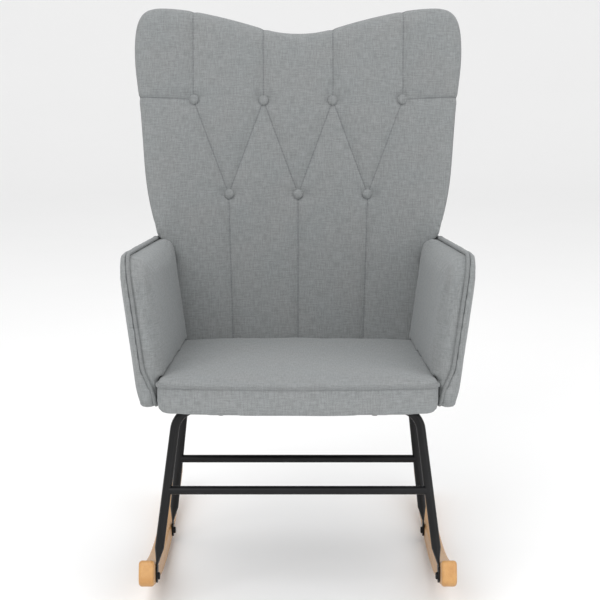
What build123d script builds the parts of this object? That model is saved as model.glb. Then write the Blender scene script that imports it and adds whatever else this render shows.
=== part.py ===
from build123d import *
import math
import os

# Rocking chair: an upholstered wing-back shell on two transverse steel leg frames,
# bolted to a pair of curved wooden rockers. Millimetres, +X right, +Y back, +Z up.
# While the pieces are built, Y = 0 is the front rocker bolt and Z = 0 is the floor.

# Rockers
ROCKER_INNER_X = 231.0
ROCKER_WIDTH = 25.0
ROCKER_LOW_Y = 312.6
ROCKER_RADIUS = 1230.0
ROCKER_NOSE_Y = -48.0
ROCKER_REAR_Y = 640.0
ROCKER_DEPTH = 30.0
WAIST_Y = 175.0
NOSE_TOP_Y = -32.0
NOSE_TOP_Z = 94.0
NOSE_TOP_ROUND = 7.0
NOSE_BOTTOM_ROUND = 14.0
TAIL_ROUND = 13.0
ROCKER_EDGE_ROUND = 5.5

# Leg frames
TUBE_DIAMETER = 15.0
TUBE_WALL = 1.6
STRETCHER_DIAMETER = 14.0
BEND_RADIUS = 38.0
PLATE_THICKNESS = 3.2
PLATE_WIDTH = 22.0
PLATE_ABOVE_BOLT = 16.0
TAPER_INSET = 0.4
FLATTENED_LENGTH = 30.0
FRONT_BOLT_Y = 0.0
FRONT_BOLT_Z = 56.0
REAR_BOLT_Y = 342.0
REAR_BOLT_Z = 19.0
FRONT_BAR_FROM_SEAT_FRONT = 105.0
REAR_BAR_FROM_SEAT_FRONT = 385.0
FRONT_BAR_CORNER_X = 196.0
REAR_BAR_CORNER_X = 199.0
FRONT_STRETCHER_Z = 194.0
REAR_STRETCHER_Z = 157.0
LEG_BOLT_X = 125.0

# Seat
SEAT_FRONT_Y = -60.0
SEAT_FRONT_BOTTOM_Z = 339.5
SEAT_TILT = 3.6
SEAT_HALF_WIDTH = 223.0
SEAT_REAR_HALF_WIDTH = 220.0
SEAT_LENGTH = 487.0
SEAT_FRONT_BOW = 20.0
SEAT_REAR_BOW = 25.0
SEAT_FRONT_CORNER = 22.0
SEAT_BAND = 43.6
SEAT_THICKNESS = 52.6
SEAT_TOP_ROUND = 8.0
SEAT_BOTTOM_ROUND = 16.0
SEAT_BOARD_INSET = 20.0
SEAT_BOARD_THICKNESS = 18.0
DUST_COVER_THICKNESS = 1.0

# Back
BACK_FOOT_Y = 428.0
BACK_FOOT_Z = 301.0
BACK_RECLINE = 9.0
BACK_CURVE_RADIUS = 925.0
BACK_LOWER_HALF_WIDTH = 218.0
BACK_FOOT_ROUND = 15.0
WING_LEAN = 0.07
BACK_CUSHION_THICKNESS = 26.0
BACK_BOARD_THICKNESS = 12.0
BACK_BOARD_INSET = 10.0
BACK_COVER_START = 33.0
BACK_COVER_THICKNESS = 15.0
FLARE_START = (218.0, 198.0)
FLARE_MIDDLE = (250.0, 247.0)
FLARE_END = (268.0, 292.0)
WING_MIDDLE = (286.0, 460.0)
WING_SIDE = (297.0, 598.0)
WING_CORNER = (284.0, 650.0)
WING_PEAK = (244.0, 663.0)
TOP_SHOULDER = (157.0, 653.0)
TOP_SLOPE = (90.0, 637.0)
TOP_CENTRE = (0.0, 621.0)

# Buttons
BUTTON_PITCH = 128.0
BUTTON_UPPER_HEIGHT = 497.0
BUTTON_LOWER_HEIGHT = 324.0
BUTTON_DIAMETER = 20.0
BUTTON_THICKNESS = 7.0
BUTTON_PROUD = 1.0
BUTTON_EDGE_ROUND = 2.5
TIE_DIAMETER = 2.4

# Arms
ARM_FOOT_X = 240.5
ARM_FOOT_Z = 344.0
ARM_SPLAY = 8.5
ARM_TOE_IN = 1.1
ARM_FRONT_FOOT = (-24.0, -3.0)
ARM_FRONT_TOP = (12.0, 243.0)
ARM_REAR_TOP = (489.0, 200.0)
ARM_REAR_FOOT = (450.0, -28.0)
ARM_FRONT_TOP_ROUND = 50.0
ARM_FRONT_FOOT_ROUND = 18.0
ARM_REAR_ROUND = 12.0
ARM_BOARD_START = -5.0
ARM_BOARD_END = 4.0
ARM_BOARD_INSET = 9.0
ARM_OUTER_THICKNESS = 10.5
ARM_OUTER_ROUND = 6.0
ARM_INNER_THICKNESS = 32.0
ARM_INNER_ROUND = 18.0
ARM_BOLT_SEAT_Y = (90.0, 330.0)
ARM_BOLT_BACK_HEIGHTS = (102.0, 177.0)
BACK_BOLT_X = 90.0
BACK_BOLT_MOUTH_STEP = 4.0
BACK_BOLT_REACH = 78.0

# Welts
WELT_SIZE = 6.0
WELT_PROUD = 2.0

# Fasteners
BOLT_DIAMETER = 6.0
BOLT_HEAD_DIAMETER = 12.0
BOLT_HEAD_HEIGHT = 3.6
INSERT_DIAMETER = 8.0
INSERT_LENGTH = 15.0
ROCKER_BOLT_BITE = 14.0
HEAD_DOME_SHARE = 0.6
HOLE_CLEARANCE = 0.6
TEE_NUT_FLANGE_DIAMETER = 18.0
TEE_NUT_FLANGE_HEIGHT = 1.6
TEE_NUT_BARREL_DIAMETER = 8.0
TEE_NUT_BARREL_LENGTH = 12.0

PAD_GAP = 0.3
CUT_MARGIN = 2.0
LONG = 2000.0
SIDES = (-1, 1)

SEAT_PLACE = Location((0, SEAT_FRONT_Y, SEAT_FRONT_BOTTOM_Z), (-SEAT_TILT, 0, 0))
BACK_PLACE = Location((0, BACK_FOOT_Y, BACK_FOOT_Z), (-BACK_RECLINE, 0, 0))
ARM_PLACE = Location((ARM_FOOT_X, 0, ARM_FOOT_Z), (0, ARM_SPLAY, ARM_TOE_IN))


def rod(start, end, diameter):
    """A round bar between two points."""
    start = Vector(*start)
    end = Vector(*end)
    section = Plane(origin=start, z_dir=end - start) * Circle(diameter / 2)
    return extrude(section, (end - start).length, dir=(end - start).normalized())


def pipe(start, end, diameter, bore):
    """A round bar with a hole right through it."""
    return rod(start, end, diameter) - rod(start, end, bore)


def dome_headed_bolt(head_seat, direction, shank_length):
    """A bolt whose domed head sits on head_seat and whose shank runs along direction."""
    along = Vector(*direction).normalized()
    seat = Vector(*head_seat)
    head = rod(seat, seat - along * BOLT_HEAD_HEIGHT, BOLT_HEAD_DIAMETER)
    rim = head.edges().group_by(lambda edge: (edge.center() - seat).length)[-1]
    head = fillet(rim, BOLT_HEAD_HEIGHT * HEAD_DOME_SHARE)
    return head + rod(seat, seat + along * shank_length, BOLT_DIAMETER)


def bolt_clearance(head_seat, direction, shank_length):
    """The drilled and counterbored space that a bolt needs in the pieces it passes through."""
    along = Vector(*direction).normalized()
    seat = Vector(*head_seat)
    far = seat + along * (shank_length + CUT_MARGIN)
    head_top = seat - along * (BOLT_HEAD_HEIGHT + HOLE_CLEARANCE)
    shank = rod(seat - along * HOLE_CLEARANCE, far, BOLT_DIAMETER + HOLE_CLEARANCE)
    return shank + rod(seat, head_top, BOLT_HEAD_DIAMETER + HOLE_CLEARANCE)


def mirrored(shape):
    """The same piece on the other side of the chair."""
    return mirror(shape, Plane.YZ)


def ring(outline, outset, inset):
    """The flat band between an outline grown by outset and shrunk by inset."""
    return offset(outline, outset) - offset(outline, -inset)


# ---- rockers ----

def rocker_arc(y, depth):
    """A point on the rocker's round sole, or on the arc that runs depth above it."""
    reach = ROCKER_RADIUS - depth
    turn = math.asin((y - ROCKER_LOW_Y) / ROCKER_RADIUS)
    return (ROCKER_LOW_Y + reach * math.sin(turn), ROCKER_RADIUS - reach * math.cos(turn))


def rocker_profile():
    """Side outline of a rocker: a raised blunt nose, a round sole and a long tail."""
    middle_y = (WAIST_Y + ROCKER_REAR_Y) / 2
    nose_bottom = rocker_arc(ROCKER_NOSE_Y, 0)
    nose_top = (NOSE_TOP_Y, NOSE_TOP_Z)
    tail_bottom = rocker_arc(ROCKER_REAR_Y, 0)
    tail_top = rocker_arc(ROCKER_REAR_Y, ROCKER_DEPTH)
    waist = rocker_arc(WAIST_Y, ROCKER_DEPTH)
    forwards = (waist[1] - ROCKER_RADIUS, ROCKER_LOW_Y - waist[0])
    sole = ThreePointArc(nose_bottom, rocker_arc(ROCKER_LOW_Y, 0), tail_bottom)
    tail = Line(tail_bottom, tail_top)
    top = ThreePointArc(tail_top, rocker_arc(middle_y, ROCKER_DEPTH), waist)
    rise = TangentArc(waist, nose_top, tangent=forwards)
    nose = Line(nose_top, nose_bottom)
    face = make_face([sole, tail, top, rise, nose])
    face = fillet(face.vertices().sort_by(Axis.X)[0], NOSE_BOTTOM_ROUND)
    face = fillet(face.vertices().sort_by_distance(nose_top)[0], NOSE_TOP_ROUND)
    return fillet(face.vertices().sort_by(Axis.X)[-2:], TAIL_ROUND)


def make_rocker():
    """The right-hand rocker, with its long edges rounded and drilled for two inserts."""
    blank = extrude(Plane.YZ.offset(ROCKER_INNER_X) * rocker_profile(), ROCKER_WIDTH)
    side_faces = blank.faces().filter_by(Axis.X)
    rocker = fillet(side_faces.edges(), ROCKER_EDGE_ROUND)
    for y, z in rocker_bolt_points():
        rocker -= rod((ROCKER_INNER_X, y, z), (ROCKER_INNER_X + INSERT_LENGTH, y, z), INSERT_DIAMETER)
    return rocker


def rocker_bolt_points():
    return [(FRONT_BOLT_Y, FRONT_BOLT_Z), (REAR_BOLT_Y, REAR_BOLT_Z)]


def make_rocker_inserts():
    """Four threaded inserts in the inner faces of the rockers."""
    inserts = []
    for side in SIDES:
        for y, z in rocker_bolt_points():
            start = (side * ROCKER_INNER_X, y, z)
            end = (side * (ROCKER_INNER_X + INSERT_LENGTH), y, z)
            inserts.append(pipe(start, end, INSERT_DIAMETER, BOLT_DIAMETER))
    return Compound(children=inserts)


def make_rocker_bolts():
    """Four bolts, driven outwards from the inner side of the leg plates."""
    bolts = []
    head_x = ROCKER_INNER_X - PLATE_THICKNESS
    for side in SIDES:
        for y, z in rocker_bolt_points():
            shank = PLATE_THICKNESS + ROCKER_BOLT_BITE
            bolts.append(dome_headed_bolt((side * head_x, y, z), (side, 0, 0), shank))
    return Compound(children=bolts)


# ---- leg frames ----

def seat_point(x, y, z):
    """A point given in the seat's own tilted frame, in the chair's frame."""
    return (SEAT_PLACE * Location((x, y, z))).position


def leg_points(bolt_y, bolt_z, bar_from_front, corner_x):
    """Plate top, knee and bar corner on the right-hand side of one leg frame."""
    corner = seat_point(corner_x, bar_from_front, -TUBE_DIAMETER / 2)
    lean = Vector(0, corner.Y - bolt_y, corner.Z - bolt_z).normalized()
    plate_x = ROCKER_INNER_X - PLATE_THICKNESS / 2
    plate_top = Vector(plate_x, bolt_y, bolt_z) + lean * PLATE_ABOVE_BOLT
    knee = plate_top + (corner - plate_top).normalized() * FLATTENED_LENGTH
    return lean, plate_top, knee, corner


def leg_sweep(knee, corner, section):
    """Carry a tube section up one leg, across under the seat and down the other leg."""
    far_corner = Vector(-corner.X, corner.Y, corner.Z)
    far_knee = Vector(-knee.X, knee.Y, knee.Z)
    path = FilletPolyline(knee, corner, far_corner, far_knee, radius=BEND_RADIUS)
    start = Plane(origin=knee, x_dir=(0, 1, 0), z_dir=corner - knee)
    return sweep(start * section, path=path)


def leg_end(lean, plate_top, knee, corner, bolt_y, bolt_z):
    """The squashed end of a leg: a taper from the round tube to a flat bolted plate."""
    round_end = Plane(origin=knee, x_dir=(1, 0, 0), z_dir=corner - knee) * Circle(TUBE_DIAMETER / 2)
    flat_end = Plane(origin=plate_top, x_dir=(1, 0, 0), z_dir=lean) * Ellipse(
        PLATE_THICKNESS / 2 - TAPER_INSET, PLATE_WIDTH / 2
    )
    taper = loft([flat_end, round_end])
    bolt = Vector(ROCKER_INNER_X - PLATE_THICKNESS, bolt_y, bolt_z)
    face_plane = Plane(origin=bolt, x_dir=lean, z_dir=(1, 0, 0))
    outline = Circle(PLATE_WIDTH / 2) + Pos(PLATE_ABOVE_BOLT / 2, 0) * Rectangle(
        PLATE_ABOVE_BOLT, PLATE_WIDTH
    )
    hole = Circle((BOLT_DIAMETER + HOLE_CLEARANCE) / 2)
    return taper + extrude(face_plane * (outline - hole), PLATE_THICKNESS)


def make_leg_frame(bolt_y, bolt_z, bar_from_front, corner_x):
    """One bent tube, an upside-down U across the chair, and its filled outer shape."""
    lean, plate_top, knee, corner = leg_points(bolt_y, bolt_z, bar_from_front, corner_x)
    outer = Circle(TUBE_DIAMETER / 2)
    filled = leg_sweep(knee, corner, outer)
    tube = leg_sweep(knee, corner, outer - Circle(TUBE_DIAMETER / 2 - TUBE_WALL))
    end = leg_end(lean, plate_top, knee, corner, bolt_y, bolt_z)
    tube = tube + end + mirrored(end)
    for side in SIDES:
        low = seat_point(side * LEG_BOLT_X, bar_from_front, -TUBE_DIAMETER - CUT_MARGIN)
        high = seat_point(side * LEG_BOLT_X, bar_from_front, CUT_MARGIN)
        tube -= rod(low, high, BOLT_DIAMETER + HOLE_CLEARANCE)
    return tube, filled


def make_stretcher(bolt_y, bolt_z, bar_from_front, corner_x, height, frame_solid):
    """The round bar welded between the two legs of one frame, coped to the tubes."""
    _, plate_top, _, corner = leg_points(bolt_y, bolt_z, bar_from_front, corner_x)
    share = (height - plate_top.Z) / (corner.Z - plate_top.Z)
    meet = plate_top + (corner - plate_top) * share
    bar = rod((-meet.X, meet.Y, height), (meet.X, meet.Y, height), STRETCHER_DIAMETER)
    pieces = (bar - frame_solid).solids()
    return pieces.sort_by(SortBy.VOLUME)[-1]


def leg_bolt_places():
    for bar in (FRONT_BAR_FROM_SEAT_FRONT, REAR_BAR_FROM_SEAT_FRONT):
        for side in SIDES:
            yield side * LEG_BOLT_X, bar


def make_leg_bolts():
    """Four bolts up through the leg frames' top bars into the seat board."""
    bolts = []
    shank = TUBE_DIAMETER + DUST_COVER_THICKNESS + SEAT_BOARD_THICKNESS
    for x, y in leg_bolt_places():
        bolt = dome_headed_bolt((x, y, -TUBE_DIAMETER), (0, 0, 1), shank)
        bolts.append(bolt.moved(SEAT_PLACE))
    return Compound(children=bolts)


def make_leg_tee_nuts():
    """Four flanged nuts pressed into the top of the seat board over the leg bolts."""
    nuts = []
    top = DUST_COVER_THICKNESS + SEAT_BOARD_THICKNESS
    for x, y in leg_bolt_places():
        barrel = rod((x, y, top - TEE_NUT_BARREL_LENGTH), (x, y, top), TEE_NUT_BARREL_DIAMETER)
        flange = rod((x, y, top), (x, y, top + TEE_NUT_FLANGE_HEIGHT), TEE_NUT_FLANGE_DIAMETER)
        bore = rod((x, y, 0), (x, y, LONG), BOLT_DIAMETER)
        nuts.append((barrel + flange - bore).moved(SEAT_PLACE))
    return Compound(children=nuts)


# ---- seat ----

def seat_outline():
    """Plan of the seat: bowed front, nearly parallel sides and a rear edge bowed to the back."""
    rear_corner_y = SEAT_LENGTH - SEAT_REAR_BOW
    front_right = (SEAT_HALF_WIDTH, SEAT_FRONT_BOW)
    rear_right = (SEAT_REAR_HALF_WIDTH, rear_corner_y)
    rear_left = (-SEAT_REAR_HALF_WIDTH, rear_corner_y)
    front_left = (-SEAT_HALF_WIDTH, SEAT_FRONT_BOW)
    front = ThreePointArc(front_left, (0, 0), front_right)
    right = Line(front_right, rear_right)
    rear = ThreePointArc(rear_right, (0, SEAT_LENGTH), rear_left)
    left = Line(rear_left, front_left)
    face = make_face([front, right, rear, left])
    return fillet(face.vertices().group_by(Axis.Y)[0], SEAT_FRONT_CORNER)


def make_seat_board():
    """The plywood board that carries the seat, with holes for the leg tee nuts."""
    board = extrude(offset(seat_outline(), -SEAT_BOARD_INSET), SEAT_BOARD_THICKNESS)
    board = Pos(0, 0, DUST_COVER_THICKNESS) * board
    for x, y in leg_bolt_places():
        top = DUST_COVER_THICKNESS + SEAT_BOARD_THICKNESS
        barrel_foot = (x, y, top - TEE_NUT_BARREL_LENGTH)
        board -= rod(barrel_foot, (x, y, top + CUT_MARGIN), TEE_NUT_BARREL_DIAMETER)
        board -= rod((x, y, 0), (x, y, top), BOLT_DIAMETER + HOLE_CLEARANCE)
    return board


def make_dust_cover():
    """The thin cloth panel stapled under the seat board."""
    cover = extrude(offset(seat_outline(), -SEAT_BOARD_INSET), DUST_COVER_THICKNESS)
    for x, y in leg_bolt_places():
        cover -= rod((x, y, -CUT_MARGIN), (x, y, CUT_MARGIN), BOLT_DIAMETER + HOLE_CLEARANCE)
    return cover


def make_seat_cushion():
    """The padded seat, with a pocket underneath for its board."""
    block = extrude(seat_outline(), SEAT_THICKNESS)
    block = fillet(block.edges().group_by(Axis.Z)[-1], SEAT_TOP_ROUND)
    profile = Pos(0, LONG / 2) * Rectangle(2 * SEAT_HALF_WIDTH, LONG)
    profile = fillet(profile.vertices().group_by(Axis.Y)[0], SEAT_BOTTOM_ROUND)
    tunnel = extrude(Plane.XZ * profile, LONG, both=True)
    cushion = block & tunnel
    pocket_depth = DUST_COVER_THICKNESS + SEAT_BOARD_THICKNESS
    cushion -= extrude(offset(seat_outline(), -SEAT_BOARD_INSET), pocket_depth)
    for x, y in leg_bolt_places():
        top = (x, y, pocket_depth + TEE_NUT_FLANGE_HEIGHT + HOLE_CLEARANCE)
        cushion -= rod((x, y, 0), top, TEE_NUT_FLANGE_DIAMETER + HOLE_CLEARANCE)
    return cushion


def make_seat_welt():
    """The corded seam round the top of the seat's border."""
    band = extrude(ring(seat_outline(), WELT_PROUD, WELT_SIZE - WELT_PROUD), WELT_SIZE)
    return Pos(0, 0, SEAT_BAND - WELT_SIZE / 2) * band


# ---- back ----

def back_outline(grow=0.0):
    """Front view of the back, narrow between the arms and flared to two rounded wing tops.

    Every point is moved outwards by grow, so the same outline serves board, welt and padding.
    """
    up = Vector(0, 1)
    leaning = Vector(WING_LEAN, 1)
    inwards = Vector(-1, 0)

    def outset(point, travel):
        side = Vector(travel.Y, -travel.X).normalized()
        return Vector(*point) + side * grow

    def between(before, point, after):
        return outset(point, Vector(*after) - Vector(*before))

    foot = Vector(BACK_LOWER_HALF_WIDTH + grow, -grow)
    start = outset(FLARE_START, up)
    flare = [
        start,
        between(FLARE_START, FLARE_MIDDLE, FLARE_END),
        between(FLARE_MIDDLE, FLARE_END, WING_MIDDLE),
        outset(WING_MIDDLE, leaning),
    ]
    wing = [
        flare[-1],
        between(WING_MIDDLE, WING_SIDE, WING_CORNER),
        between(WING_SIDE, WING_CORNER, WING_PEAK),
        outset(WING_PEAK, inwards),
    ]
    top = [
        wing[-1],
        between(WING_PEAK, TOP_SHOULDER, TOP_SLOPE),
        between(TOP_SHOULDER, TOP_SLOPE, TOP_CENTRE),
        outset(TOP_CENTRE, inwards),
    ]
    half = Curve() + [
        Line((0, -grow), foot),
        Line(foot, start),
        Spline(*flare, tangents=[up, leaning]),
        Spline(*wing, tangents=[leaning, inwards]),
        Spline(*top, tangents=[inwards, inwards]),
    ]
    face = make_face(half.edges() + mirror(half, Plane.YZ).edges())
    feet = face.vertices().group_by(Axis.Y)[0].sort_by(Axis.X)
    return fillet([feet[0], feet[-1]], BACK_FOOT_ROUND + grow)


def back_slab(outline, near, far):
    """The part of the curved back between two depths behind its front surface."""
    block = extrude(Plane.XZ * outline, LONG / 2, both=True)
    curve = Cylinder(BACK_CURVE_RADIUS + far, LONG) - Cylinder(BACK_CURVE_RADIUS + near, LONG)
    return block & (Pos(0, -BACK_CURVE_RADIUS, LONG / 4) * curve)


def front_surface_y(x, depth=0.0):
    """Local Y of the curved back at one side position and depth."""
    return math.sqrt((BACK_CURVE_RADIUS + depth) ** 2 - x**2) - BACK_CURVE_RADIUS


def button_places():
    """Four buttons in the upper row and three in the lower, set between them."""
    upper = [(BUTTON_PITCH * (n - 1.5), BUTTON_UPPER_HEIGHT) for n in range(4)]
    lower = [(BUTTON_PITCH * (n - 1), BUTTON_LOWER_HEIGHT) for n in range(3)]
    return upper + lower


def make_buttons():
    """Covered buttons sunk into the back cushion."""
    buttons = []
    for x, z in button_places():
        front = front_surface_y(x) - BUTTON_PROUD
        button = rod((x, front, z), (x, front + BUTTON_THICKNESS, z), BUTTON_DIAMETER)
        button = fillet(button.edges().group_by(Axis.Y)[0], BUTTON_EDGE_ROUND)
        buttons.append(button)
    return buttons


def tie_ends(x, z):
    near = front_surface_y(x) - BUTTON_PROUD + BUTTON_THICKNESS
    far = front_surface_y(x, BACK_CUSHION_THICKNESS + BACK_BOARD_THICKNESS)
    return (x, near, z), (x, far - CUT_MARGIN, z)


def make_button_ties():
    """Twine from each button through the padding into the board."""
    return [rod(*tie_ends(x, z), TIE_DIAMETER) for x, z in button_places()]


def button_pockets():
    """The dimples that the buttons sit in, and the holes behind them for their ties."""
    pockets = []
    for x, z in button_places():
        near, far = tie_ends(x, z)
        open_front = (x, front_surface_y(x) - LONG / 20, z)
        pocket = rod(open_front, near, BUTTON_DIAMETER + HOLE_CLEARANCE)
        pockets.append(pocket + rod(near, far, TIE_DIAMETER + HOLE_CLEARANCE))
    return pockets


# ---- arms ----

def arm_outline():
    """Side view of an arm panel."""
    face = make_face(Polyline(ARM_FRONT_FOOT, ARM_FRONT_TOP, ARM_REAR_TOP, ARM_REAR_FOOT, close=True))
    rounds = [
        (ARM_FRONT_FOOT, ARM_FRONT_FOOT_ROUND),
        (ARM_FRONT_TOP, ARM_FRONT_TOP_ROUND),
        (ARM_REAR_TOP, ARM_REAR_ROUND),
        (ARM_REAR_FOOT, ARM_REAR_ROUND),
    ]
    for corner, radius in rounds:
        face = fillet(face.vertices().sort_by_distance((*corner, 0))[0], radius)
    return face


def arm_plate(outline, near, far):
    """A flat layer of the arm between two distances outside the welt's plane."""
    return extrude(Plane.YZ.offset(near) * outline, far - near)


def arm_plane_x(y, z):
    """How far out the welt's plane of the right arm is at a place in the chair's frame."""
    rise = (z - ARM_FOOT_Z) * math.tan(math.radians(ARM_SPLAY))
    return ARM_FOOT_X + rise - y * math.tan(math.radians(ARM_TOE_IN))


def arm_bolt_places():
    """Axis height, distance back and insert mouth of each bolt on the right-hand side."""
    board_middle = DUST_COVER_THICKNESS + SEAT_BOARD_THICKNESS / 2
    seat_edge = SEAT_REAR_HALF_WIDTH - SEAT_BOARD_INSET
    for y in ARM_BOLT_SEAT_Y:
        spot = seat_point(0, y - SEAT_FRONT_Y, board_middle)
        yield spot.Y, spot.Z, seat_edge
    back_edge = BACK_LOWER_HALF_WIDTH - BACK_BOARD_INSET
    middle_x = back_edge - INSERT_LENGTH / 2
    depth = front_surface_y(middle_x, BACK_CUSHION_THICKNESS + BACK_BOARD_THICKNESS / 2)
    for height in ARM_BOLT_BACK_HEIGHTS:
        spot = (BACK_PLACE * Location((middle_x, depth, height))).position
        yield spot.Y, spot.Z, back_edge


def arm_bolt_specs():
    """Head seat, direction and shank length of each bolt from an arm board into a board edge."""
    for side in SIDES:
        for y, z, mouth in arm_bolt_places():
            head_x = arm_plane_x(y, z)
            shank = head_x - mouth + INSERT_LENGTH - CUT_MARGIN
            yield (side * head_x, y, z), (-side, 0, 0), shank


def make_arm_inserts():
    """Threaded inserts in the edges of the seat board and the back board."""
    inserts = []
    for side in SIDES:
        for y, z, mouth in arm_bolt_places():
            outer = (side * mouth, y, z)
            inner = (side * (mouth - INSERT_LENGTH), y, z)
            inserts.append(pipe(outer, inner, INSERT_DIAMETER, BOLT_DIAMETER))
    return inserts


def insert_holes():
    """The drilled holes that the arm inserts fill."""
    holes = []
    for side in SIDES:
        for y, z, mouth in arm_bolt_places():
            outer = (side * (mouth + CUT_MARGIN), y, z)
            inner = (side * (mouth - INSERT_LENGTH), y, z)
            holes.append(rod(outer, inner, INSERT_DIAMETER))
    return holes


def back_bolt_line(side):
    """Front and rear ends of one bolt from the back board into the seat board's rear edge."""
    middle = DUST_COVER_THICKNESS + SEAT_BOARD_THICKNESS / 2
    mouth_y = SEAT_LENGTH - SEAT_BOARD_INSET - BACK_BOLT_MOUTH_STEP
    front = seat_point(side * BACK_BOLT_X, mouth_y - INSERT_LENGTH, middle)
    mouth = seat_point(side * BACK_BOLT_X, mouth_y, middle)
    head = seat_point(side * BACK_BOLT_X, mouth_y + BACK_BOLT_REACH, middle)
    return front, mouth, head


def back_bolt_specs():
    """Head seat, direction and shank length of the two bolts from the back into the seat."""
    for side in SIDES:
        front, _, head = back_bolt_line(side)
        yield head, front - head, (head - front).length - CUT_MARGIN


def make_back_inserts():
    inserts = []
    for side in SIDES:
        front, mouth, _ = back_bolt_line(side)
        inserts.append(pipe(front, mouth, INSERT_DIAMETER, BOLT_DIAMETER))
    return inserts


def back_insert_holes():
    """The drilled holes in the seat board's rear edge."""
    holes = []
    for side in SIDES:
        front, mouth, head = back_bolt_line(side)
        holes.append(rod(front, (mouth + head) / 2, INSERT_DIAMETER))
    return holes


def without(piece, cutters):
    """The piece with each cutter's shape taken away."""
    for cutter in cutters:
        piece = piece - cutter
    return piece


def group(solids):
    return Compound(children=[solid for piece in solids for solid in piece.solids()])


def build_base(parts):
    """Rockers, leg frames, stretchers and their fasteners."""
    right_rocker = make_rocker()
    parts["right_rocker"] = right_rocker
    parts["left_rocker"] = mirrored(right_rocker)
    parts["rocker_inserts"] = make_rocker_inserts()
    parts["rocker_bolts"] = make_rocker_bolts()
    front = (FRONT_BOLT_Y, FRONT_BOLT_Z, FRONT_BAR_FROM_SEAT_FRONT, FRONT_BAR_CORNER_X)
    rear = (REAR_BOLT_Y, REAR_BOLT_Z, REAR_BAR_FROM_SEAT_FRONT, REAR_BAR_CORNER_X)
    parts["front_leg_frame"], front_solid = make_leg_frame(*front)
    parts["rear_leg_frame"], rear_solid = make_leg_frame(*rear)
    parts["front_stretcher"] = make_stretcher(*front, FRONT_STRETCHER_Z, front_solid)
    parts["rear_stretcher"] = make_stretcher(*rear, REAR_STRETCHER_Z, rear_solid)
    parts["leg_bolts"] = make_leg_bolts()
    parts["leg_tee_nuts"] = make_leg_tee_nuts()


def build_seat(parts, clearances):
    """Seat board, padding, welt and dust cover."""
    welt = make_seat_welt()
    cushion = make_seat_cushion() - welt
    board = make_seat_board()
    holes = insert_holes() + back_insert_holes() + clearances
    parts["seat_board"] = without(board.moved(SEAT_PLACE), holes)
    parts["seat_cushion"] = without(cushion.moved(SEAT_PLACE), holes)
    parts["seat_welt"] = welt.moved(SEAT_PLACE)
    parts["dust_cover"] = make_dust_cover().moved(SEAT_PLACE)


def build_back(parts, clearances):
    """The curved back board, its padding, cover, welt and buttons."""
    pad_end = BACK_CUSHION_THICKNESS
    board_end = pad_end + BACK_BOARD_THICKNESS
    cover_end = BACK_COVER_START + BACK_COVER_THICKNESS
    outline = back_outline()
    board_shape = back_outline(-BACK_BOARD_INSET)
    welt_shape = back_outline(WELT_PROUD) - board_shape
    pockets = button_pockets()
    pad = without(back_slab(outline, 0, pad_end), pockets)
    board = without(back_slab(board_shape, pad_end, board_end), pockets)
    welt = back_slab(welt_shape, pad_end, BACK_COVER_START)
    rim = back_slab(outline - board_shape, BACK_COVER_START, board_end)
    cover = rim + back_slab(outline, board_end, cover_end)
    parts["back_cushion"] = without(pad.moved(BACK_PLACE), clearances)
    parts["back_board"] = without(board.moved(BACK_PLACE), insert_holes() + clearances)
    parts["back_welt"] = without(welt.moved(BACK_PLACE), clearances)
    parts["back_outer_cover"] = without(cover.moved(BACK_PLACE), clearances)
    parts["tufting_buttons"] = group(make_buttons()).moved(BACK_PLACE)
    parts["button_ties"] = group(make_button_ties()).moved(BACK_PLACE)


def shell_space():
    """The room that the seat and the back take up between the arms."""
    plan = offset(seat_outline(), WELT_PROUD + PAD_GAP)
    seat = Pos(0, 0, -SEAT_BAND) * extrude(plan, SEAT_BAND + SEAT_THICKNESS + PAD_GAP)
    rear = BACK_COVER_START + BACK_COVER_THICKNESS + PAD_GAP
    back = back_slab(back_outline(WELT_PROUD + PAD_GAP), -PAD_GAP, rear)
    return [seat.moved(SEAT_PLACE), back.moved(BACK_PLACE)]


def build_arms(parts, clearances):
    """Each arm's board, inner pad, outer pad and welt."""
    outline = arm_outline()
    board_shape = offset(outline, -ARM_BOARD_INSET)
    board = arm_plate(board_shape, ARM_BOARD_START, ARM_BOARD_END)
    outer = arm_plate(outline, 0, ARM_OUTER_THICKNESS)
    outer = fillet(outer.faces().sort_by(Axis.X)[-1].edges(), ARM_OUTER_ROUND) - board
    inner = arm_plate(offset(outline, -WELT_SIZE), -ARM_INNER_THICKNESS, 0)
    inner = fillet(inner.faces().sort_by(Axis.X)[0].edges(), ARM_INNER_ROUND) - board
    welt = arm_plate(ring(outline, 0, WELT_SIZE), -WELT_SIZE, 0)
    space = shell_space()
    layers = {
        "arm_board": board.moved(ARM_PLACE),
        "arm_outer_pad": outer.moved(ARM_PLACE),
        "arm_inner_pad": without(inner.moved(ARM_PLACE), space),
        "arm_welt": without(welt.moved(ARM_PLACE), space),
    }
    for name, layer in layers.items():
        parts[f"right_{name}"] = without(layer, clearances)
        parts[f"left_{name}"] = without(mirrored(layer), clearances)


def build_chair():
    """Every piece of the chair, by name, with the origin under the middle of the chair."""
    parts = {}
    arm_specs = list(arm_bolt_specs())
    back_specs = list(back_bolt_specs())
    clearances = [bolt_clearance(*spec) for spec in arm_specs + back_specs]
    build_base(parts)
    build_seat(parts, clearances)
    build_back(parts, clearances)
    build_arms(parts, clearances)
    parts["arm_bolts"] = group([dome_headed_bolt(*spec) for spec in arm_specs])
    parts["arm_inserts"] = group(make_arm_inserts())
    parts["back_bolts"] = group([dome_headed_bolt(*spec) for spec in back_specs])
    parts["back_inserts"] = group(make_back_inserts())
    boxes = [part.bounding_box() for part in parts.values()]
    front = min(box.min.Y for box in boxes)
    rear = max(box.max.Y for box in boxes)
    low = min(box.min.Z for box in boxes)
    centre = Location((0, -(front + rear) / 2, -low))
    return {name: part.moved(centre) for name, part in parts.items()}


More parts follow.
